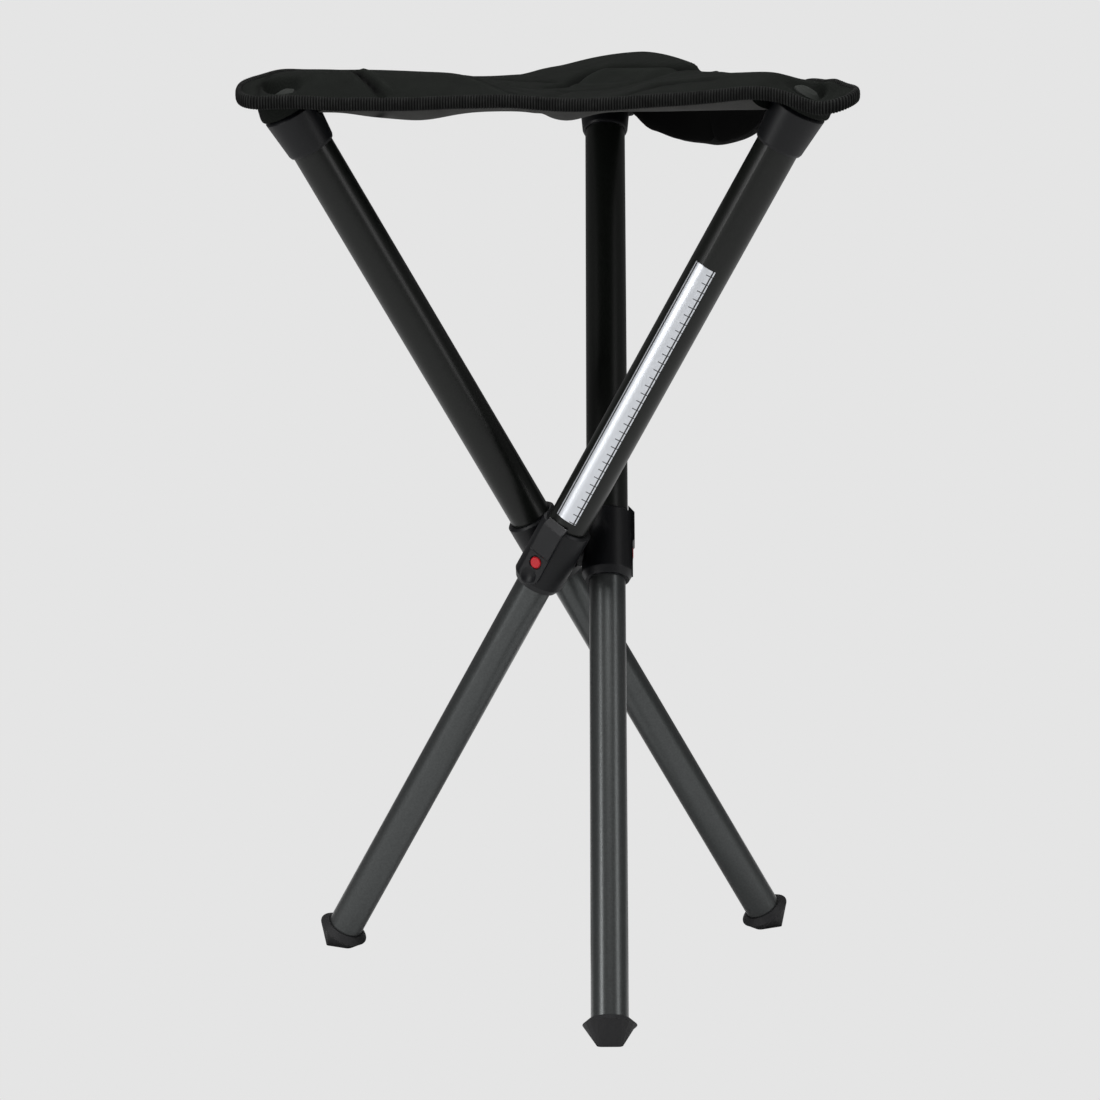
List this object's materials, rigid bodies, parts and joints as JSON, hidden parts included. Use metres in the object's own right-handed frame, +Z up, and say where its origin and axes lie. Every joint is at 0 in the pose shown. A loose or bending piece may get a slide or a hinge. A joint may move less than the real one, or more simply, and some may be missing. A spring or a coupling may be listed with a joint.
{
  "type": "folding stool",
  "caption": "Three-legged folding stool with telescopic tube legs, push-button collars at a central pivot hub, and a padded triangular cloth seat with bound edges.",
  "frame": {"origin": "floor level under the middle of the pivot hub, where the three soles stand on Z 0", "axes": "+Z up along the hub's axis; the pictured side faces -Y"},
  "size_m": [0.3251, 0.3386, 0.5087],
  "materials": {
    "dark_tube": "satin",
    "grey_tube": "satin",
    "black_plastic": "matte",
    "red_plastic": "satin",
    "spring_steel": "satin",
    "black_rubber": "matte",
    "dark_cloth": "matte",
    "edge_tape": "matte",
    "foil": "satin"
  },
  "bodies": {
    "hub": {"hub_core": "black_plastic", "pivot_screws": "spring_steel"},
    "upper_leg_a": {"outer_tube_a": "dark_tube", "collar_a": "black_plastic", "top_cap_a": "black_plastic", "corner_stud_a": "black_plastic", "seat_corner_a": "dark_cloth", "corner_binding_a": "edge_tape", "size_label": "foil"},
    "upper_leg_b": {"outer_tube_b": "dark_tube", "collar_b": "black_plastic", "top_cap_b": "black_plastic", "corner_stud_b": "black_plastic", "seat_corner_b": "dark_cloth", "corner_binding_b": "edge_tape"},
    "upper_leg_c": {"outer_tube_c": "dark_tube", "collar_c": "black_plastic", "top_cap_c": "black_plastic", "corner_stud_c": "black_plastic", "seat_corner_c": "dark_cloth", "corner_binding_c": "edge_tape"},
    "lower_leg_a": {"inner_tube_a": "grey_tube", "glide_plug_a": "black_plastic", "latch_spring_a": "spring_steel", "foot_a": "black_rubber"},
    "lower_leg_b": {"inner_tube_b": "grey_tube", "glide_plug_b": "black_plastic", "latch_spring_b": "spring_steel", "foot_b": "black_rubber"},
    "lower_leg_c": {"inner_tube_c": "grey_tube", "glide_plug_c": "black_plastic", "latch_spring_c": "spring_steel", "foot_c": "black_rubber"},
    "button_a": {"release_button_a": "red_plastic"},
    "button_b": {"release_button_b": "red_plastic"},
    "button_c": {"release_button_c": "red_plastic"},
    "seat_third_a": {"seat_panel_a": "dark_cloth", "edge_binding_a": "edge_tape"},
    "seat_third_b": {"seat_panel_b": "dark_cloth", "edge_binding_b": "edge_tape"},
    "seat_third_c": {"seat_panel_c": "dark_cloth", "edge_binding_c": "edge_tape"}
  },
  "joints": [
    {"name": "fold_a", "type": "hinge", "parent": "hub", "child": "upper_leg_a", "pos_m": [-0.01065, -0.01845, 0.236], "axis": [-0.5, -0.866, 0], "range_deg": [0, 31.9], "deforming": ["seat_corner_a", "corner_binding_a"]},
    {"name": "fold_b", "type": "hinge", "parent": "hub", "child": "upper_leg_b", "pos_m": [-0.01065, 0.01845, 0.236], "axis": [-0.5, 0.866, 0], "range_deg": [0, 31.9], "deforming": ["seat_corner_b", "corner_binding_b"]},
    {"name": "fold_c", "type": "hinge", "parent": "hub", "child": "upper_leg_c", "pos_m": [0.0213, 0, 0.236], "axis": [1, 0, 0], "range_deg": [0, 31.9], "deforming": ["seat_corner_c", "corner_binding_c"]},
    {"name": "extend_a", "type": "slide", "parent": "upper_leg_a", "child": "lower_leg_a", "axis": [0.4576, -0.2642, 0.849], "range_m": [0, 0.2463], "deforming": ["latch_spring_a"]},
    {"name": "extend_b", "type": "slide", "parent": "upper_leg_b", "child": "lower_leg_b", "axis": [-0.4576, -0.2642, 0.849], "range_m": [0, 0.2463], "deforming": ["latch_spring_b"]},
    {"name": "extend_c", "type": "slide", "parent": "upper_leg_c", "child": "lower_leg_c", "axis": [0, 0.5284, 0.849], "range_m": [0, 0.2463], "deforming": ["latch_spring_c"]},
    {"name": "press_a", "type": "slide", "parent": "upper_leg_a", "child": "button_a", "axis": [0.5, 0.866, 0], "range_m": [0, 0.00125], "stiffness_N_per_m": 350, "deforming": ["latch_spring_a"]},
    {"name": "press_b", "type": "slide", "parent": "upper_leg_b", "child": "button_b", "axis": [0.5, -0.866, 0], "range_m": [0, 0.00125], "stiffness_N_per_m": 350, "deforming": ["latch_spring_b"]},
    {"name": "press_c", "type": "slide", "parent": "upper_leg_c", "child": "button_c", "axis": [-1, 0, 0], "range_m": [0, 0.00125], "stiffness_N_per_m": 350, "deforming": ["latch_spring_c"]},
    {"name": "drape_a", "type": "hinge", "parent": "upper_leg_a", "child": "seat_third_a", "pos_m": [0.11296, -0.08763, 0.49434], "axis": [-0.5, -0.866, 0], "range_deg": [0, 58.11], "deforming": ["seat_panel_a", "edge_binding_a"]},
    {"name": "drape_b", "type": "hinge", "parent": "upper_leg_b", "child": "seat_third_b", "pos_m": [-0.13237, -0.05401, 0.49434], "axis": [-0.5, 0.866, 0], "range_deg": [0, 58.11], "deforming": ["seat_panel_b", "edge_binding_b"]},
    {"name": "drape_c", "type": "hinge", "parent": "upper_leg_c", "child": "seat_third_c", "pos_m": [0.01941, 0.14164, 0.49434], "axis": [1, 0, 0], "range_deg": [0, 58.11], "deforming": ["seat_panel_c", "edge_binding_c"]}
  ],
  "couplings": [
    {"joint": "fold_b", "follows": "fold_a", "ratio": 1},
    {"joint": "fold_c", "follows": "fold_a", "ratio": 1},
    {"joint": "drape_a", "follows": "fold_a", "ratio": 1.8213},
    {"joint": "drape_b", "follows": "fold_a", "ratio": 1.8213},
    {"joint": "drape_c", "follows": "fold_a", "ratio": 1.8213}
  ]
}
